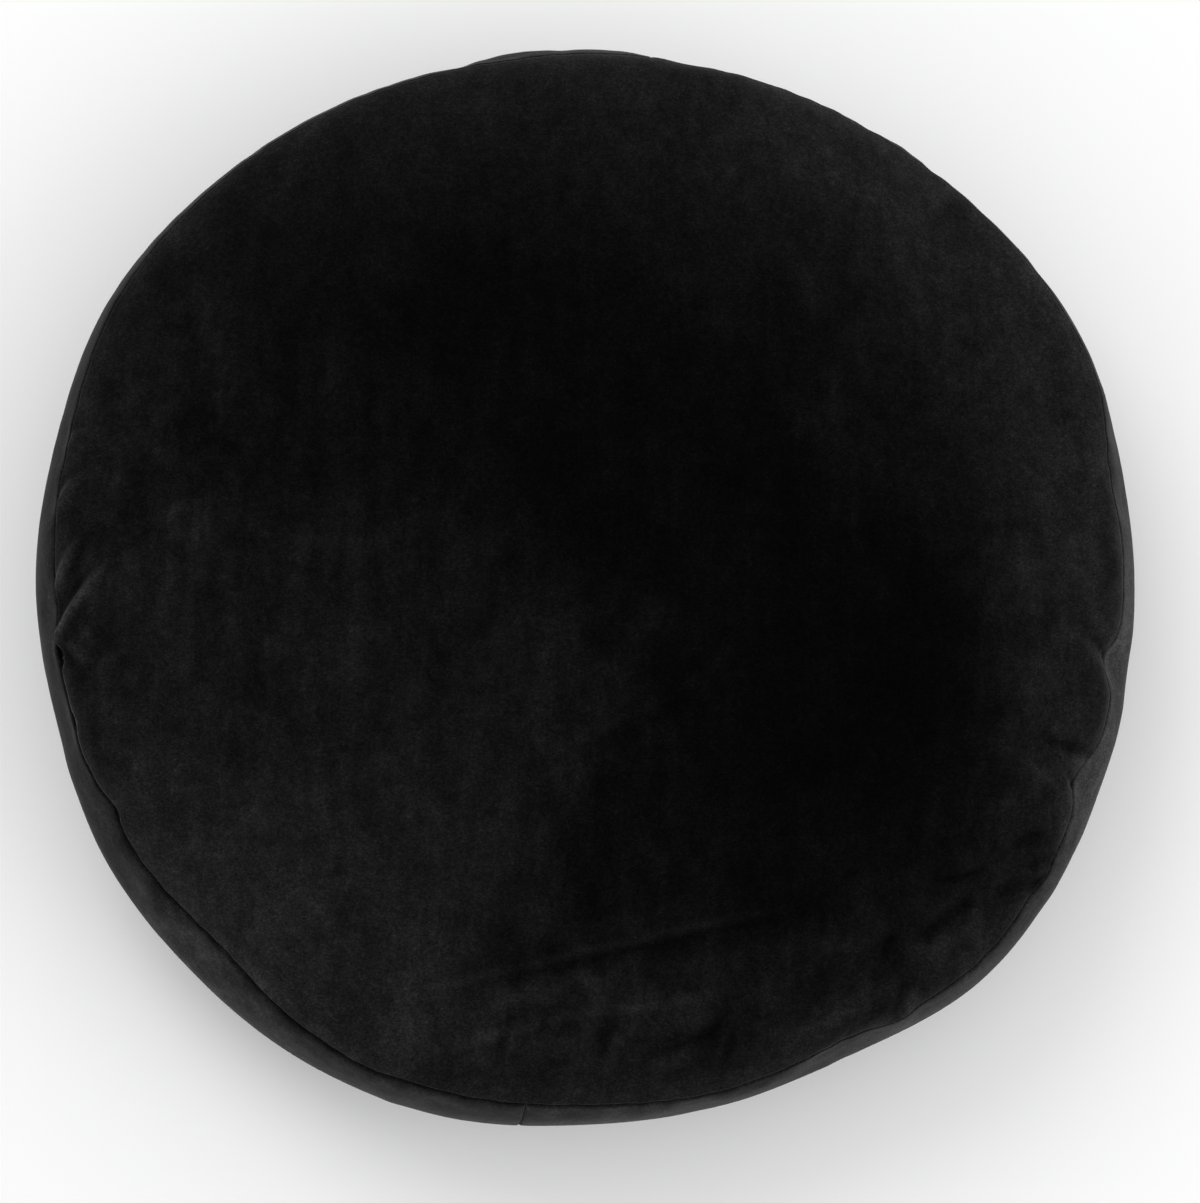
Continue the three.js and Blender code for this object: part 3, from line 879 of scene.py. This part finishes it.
def velvetMaterial():
    v = velvet
    material = bpy.data.materials.new("blackVelvet")
    material.use_nodes = True
    nodes, links = material.node_tree.nodes, material.node_tree.links
    shader = nodes["Principled BSDF"]

    def node(kind, **values):
        made = nodes.new(kind)
        for name, value in values.items():
            setattr(made, name, value)
        return made

    def noise(across, lengthways, detail, roughness, turn, distortion):
        mapping = node("ShaderNodeMapping")
        mapping.inputs["Rotation"].default_value = (0, 0, turn)
        mapping.inputs["Scale"].default_value = (1 / across, lengthways / across, 1 / across)
        links.new(coordinates.outputs["Object"], mapping.inputs["Vector"])
        made = node("ShaderNodeTexNoise", noise_dimensions="3D")
        made.inputs["Scale"].default_value = 1
        made.inputs["Detail"].default_value = detail
        made.inputs["Roughness"].default_value = roughness
        made.inputs["Distortion"].default_value = distortion
        links.new(mapping.outputs["Vector"], made.inputs["Vector"])
        return made.outputs["Fac"]

    def calc(operation, first, second):
        made = node("ShaderNodeMath", operation=operation)
        for socket, value in zip(made.inputs, (first, second)):
            if isinstance(value, (int, float)):
                socket.default_value = value
            else:
                links.new(value, socket)
        return made.outputs["Value"]

    def fromMiddle(name):
        return calc("SUBTRACT", layers[name], 0.5)

    def weighted(name):
        return calc("MULTIPLY", fromMiddle(name), weights[name])

    coordinates = node("ShaderNodeTexCoord")
    napAndPaintedLight = node("ShaderNodeAttribute", attribute_name="napAndPaintedLight")
    ruffle = node("ShaderNodeAttribute", attribute_name="ruffle")
    layers = {name: noise(*form) for name, (*form, weight) in v["noises"].items()}
    weights = {name: weight for name, (*form, weight) in v["noises"].items()}
    dents = fromMiddle("dents")  # squared with their sign, so that only the strong ones show
    coarse = calc("MULTIPLY", calc("MULTIPLY", dents, calc("ABSOLUTE", dents, 0)), weights["dents"])
    for name in ("patches", "strokes", "crush"):
        coarse = calc("ADD", coarse, weighted(name))
    tone = calc("ADD", napAndPaintedLight.outputs["Fac"], calc("MULTIPLY", coarse, ruffle.outputs["Fac"]))
    for name in ("blotches", "tufts", "pile"):
        tone = calc("ADD", tone, weighted(name))
    lightness = calc("MULTIPLY", calc("POWER", 2.0, tone), v["darkest"])
    colour = node("ShaderNodeCombineColor")
    for socket in colour.inputs:
        links.new(lightness, socket)
    links.new(colour.outputs["Color"], shader.inputs["Base Color"])
    rough = calc("ADD", calc("MULTIPLY", fromMiddle("patches"), v["roughSway"]), v["roughness"])
    links.new(rough, shader.inputs["Roughness"])
    crushed = calc("MULTIPLY", layers["crush"], v["crushRise"])
    height = calc("ADD", crushed, calc("MULTIPLY", layers["pile"], v["pileRise"]))
    bump = node("ShaderNodeBump")
    bump.inputs["Strength"].default_value = v["bumpStrength"]
    bump.inputs["Distance"].default_value = v["pileHeight"]
    links.new(height, bump.inputs["Height"])
    links.new(bump.outputs["Normal"], shader.inputs["Normal"])
    shader.inputs["Specular IOR Level"].default_value = v["specular"]
    shader.inputs["Sheen Weight"].default_value = v["sheen"]
    shader.inputs["Sheen Roughness"].default_value = v["sheenRoughness"]
    shader.inputs["Sheen Tint"].default_value = v["sheenTint"]
    return material


paintNapAndLight(cover.data, foldNapLightAndShade, onto)
setPoints(cover.data, pointsOf(cover.data) + np.array(toFrame))
cover.data.materials.append(velvetMaterial())
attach(cover, "root")
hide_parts("cushion")
print("velvet laid")


# Studio: a pale floor, a wide soft light overhead and an even surround
studio = {
    "floorSize": 8,
    "floorTone": 0.92,
    "floorRoughness": 0.9,
    "floorSpecular": 0.1,
    "surround": 0.9,
    "lights": [
        # name, place, watts, size
        ("keyLight", (-1.2, 1.4, 2.4), 18, 1.6),
        ("fillLight", (1.8, -0.8, 2.0), 9, 1.8),
    ],
}


def makeFloor():
    bm = bmesh.new()
    bmesh.ops.create_grid(bm, x_segments=1, y_segments=1, size=studio["floorSize"] / 2)
    mesh = bpy.data.meshes.new("floor")
    bm.to_mesh(mesh)
    bm.free()
    floor = bpy.data.objects.new("floor", mesh)
    scene.collection.objects.link(floor)
    material = bpy.data.materials.new("paleFloor")
    material.use_nodes = True
    shader = material.node_tree.nodes["Principled BSDF"]
    shader.inputs["Base Color"].default_value = (studio["floorTone"],) * 3 + (1,)
    shader.inputs["Roughness"].default_value = studio["floorRoughness"]
    shader.inputs["Specular IOR Level"].default_value = studio["floorSpecular"]
    mesh.materials.append(material)


def makeLights():
    for name, place, watts, size in studio["lights"]:
        data = bpy.data.lights.new(name, "AREA")
        data.shape = "DISK"
        data.size = size
        data.energy = watts
        light = bpy.data.objects.new(name, data)
        scene.collection.objects.link(light)
        light.location = place
        light.rotation_euler = (-Vector(place)).to_track_quat("-Z", "Y").to_euler()
    world = bpy.data.worlds.new("surround")
    world.use_nodes = True
    world.node_tree.nodes["Background"].inputs["Color"].default_value = (1, 1, 1, 1)
    world.node_tree.nodes["Background"].inputs["Strength"].default_value = studio["surround"]
    scene.world = world
    scene.view_settings.view_transform = "Standard"


makeFloor()
makeLights()
print("studio lit")
